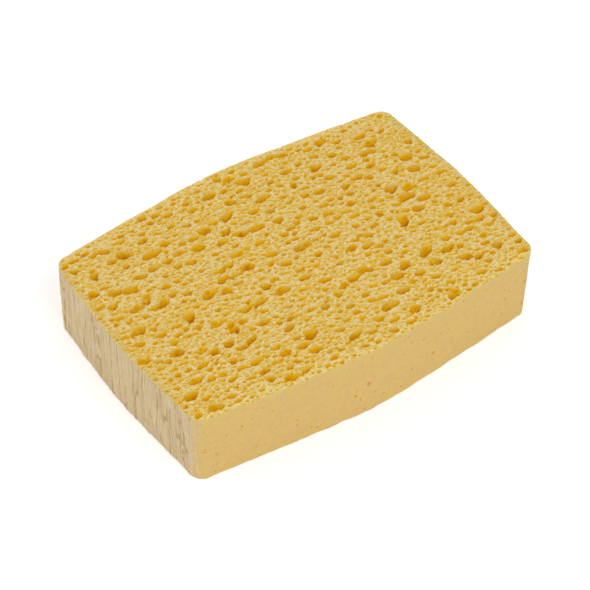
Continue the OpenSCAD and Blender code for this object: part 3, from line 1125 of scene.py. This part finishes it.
def wall_tree():
    """Geometry nodes that wave, wrinkle and wear the wall."""
    inputs = {"Wall": "Geometry", "Wrinkle Depth": "Float", "Material": "Material"}
    tree, given = new_tree("wall", inputs)
    place = add(tree, "vector times", add(tree, "position"), (1 / MM, 1 / MM, 1 / MM))
    wave = add(tree, "minus", add(tree, "noise", place, Scale=WAVE_WAVES), 0.5)
    streak = add(tree, "vector times", place, (1, 1, WRINKLE_UPRIGHT))
    wrinkle = thin_lines(tree, add(tree, "noise", streak, **WRINKLE_NOISE), WRINKLE_SHARPNESS)
    wrinkle = add(tree, "times", wrinkle, given["Wrinkle Depth"])
    wrinkle = add(tree, "times", wrinkle, add(tree, "attribute", "on_end"))
    out = add(tree, "minus", add(tree, "times", wave, 2 * WAVE_DEPTH), wrinkle)
    up = add(tree, "parts", place, output=2)
    foot = add(tree, "minus", 1.0, add(tree, "over", up, FOOT_HEIGHT))
    foot = add(tree, "greater", foot, 0.0)
    wear = add(tree, "minus", add(tree, "noise", place, **FOOT_NOISE), FOOT_WHOLE)
    wear = add(tree, "times", wear, FOOT_WEAR)
    less = add(tree, "times", add(tree, "attribute", "on_end"), 1 - FOOT_END_SHARE)
    foot = add(tree, "times", foot, add(tree, "minus", 1.0, less))
    out = add(tree, "plus", out, add(tree, "times", wear, foot))
    level = add(tree, "vector times", add(tree, "normal"), (MM, MM, 0))
    moved = add(tree, "moved", given["Wall"], Offset=add(tree, "scaled", level, Scale=out))
    plain = add(tree, "realized", moved)
    add(tree, "result", add(tree, "dressed", plain, Material=given["Material"]))
    return tree


wrinkled = wall_tree()
node_modifier(block, wrinkled, wrinkle_depth=WRINKLE_DEPTH, material=skin)
print("the tree of the wall has", len(wrinkled.nodes), "nodes")

# %% Take the cutters away
for cutter in (upper, under):
    cut = block.modifiers.new("cut", "BOOLEAN")
    cut.operation = "DIFFERENCE"
    cut.solver = "MANIFOLD"
    cut.material_mode = "TRANSFER"
    cut.object = cutter
sponge = made_plain(block, "sponge_foam")
for cutter in (upper, under):
    bpy.data.objects.remove(cutter, do_unlink=True)
sponge.data.calc_loop_triangles()
print("the sponge has", len(sponge.data.loop_triangles), "triangles")
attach(sponge, "root")
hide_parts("sponge")

# %% [markdown]
# ## Floor and light
# The photograph is a cut-out on plain white with soft light from the front right, and less of it
# from the left. The floor is white to the camera and still takes the sponge's soft shadow.

# %% A white floor
FLOOR_SIZE = 4.0
FLOOR_COLOUR = "#E6E6E6"
FLOOR_GLOW = 0.42
KINDS |= {
    "paper": ("ShaderNodeBsdfDiffuse", {}),
    "glow": ("ShaderNodeEmission", {}),
    "both": ("ShaderNodeAddShader", {}),
    "either": ("ShaderNodeMixShader", {}),
    "ray": ("ShaderNodeLightPath", {}),
}


def looked_at(tree):
    """1 for a ray from the camera, or one that a gloss or glass sends on, and 0 for other light."""
    ray = add(tree, "ray").node.outputs
    looking = add(tree, "greater", ray["Is Camera Ray"], ray["Is Glossy Ray"])
    return add(tree, "greater", looking, ray["Is Transmission Ray"])


def floor_material():
    """White paper that looks white to the camera and still takes a shadow."""
    material, tree, shader = surface("white paper sweep")
    tree.nodes.remove(shader)
    paper = add(tree, "paper", linear(FLOOR_COLOUR))
    lit = add(tree, "both", paper, add(tree, "glow", (1, 1, 1, 1), FLOOR_GLOW))
    shown = add(tree, "either", looked_at(tree), paper, lit)
    tree.links.new(shown, tree.nodes["Material Output"].inputs["Surface"])
    return material


half_floor = FLOOR_SIZE / 2
signs = ((-1, -1), (1, -1), (1, 1), (-1, 1))
floor_corners = [(x * half_floor, y * half_floor, 0) for x, y in signs]
floor_mesh = bpy.data.meshes.new("floor")
floor_mesh.from_pydata(floor_corners, [], [(0, 1, 2, 3)])
floor_mesh.materials.append(floor_material())
floor = bpy.data.objects.new("floor", floor_mesh)
scene.collection.objects.link(floor)
print("the floor is", FLOOR_SIZE, "m wide")

# %% Soft light
# Each lamp: azimuth, elevation, distance and size in metres, and power in watts
LAMPS = {"key": (-4, 50, 1.2, 0.5, 3.3), "fill": (-106, 22, 1.4, 0.9, 2.2)}
WORLD_LIGHT = 0.68

for name, (azimuth, elevation, distance, size, power) in LAMPS.items():
    light = bpy.data.lights.new(name, "AREA")
    light.size = size
    light.energy = power
    _, _, away = camera_axes(azimuth, elevation, 0)
    lamp = bpy.data.objects.new(name, light)
    lamp.location = away * distance
    lamp.rotation_mode = "QUATERNION"
    lamp.rotation_quaternion = away.to_track_quat("Z", "Y")
    scene.collection.objects.link(lamp)

world = bpy.data.worlds.new("studio")
world.use_nodes = True
scene.world = world
background = world.node_tree.nodes["Background"]
background.inputs["Color"].default_value = (1, 1, 1, 1)
brightness = add(world.node_tree, "greater", looked_at(world.node_tree), WORLD_LIGHT)
world.node_tree.links.new(brightness, background.inputs["Strength"])
scene.view_settings.view_transform = "Standard"
print("lamps:", ", ".join(LAMPS))
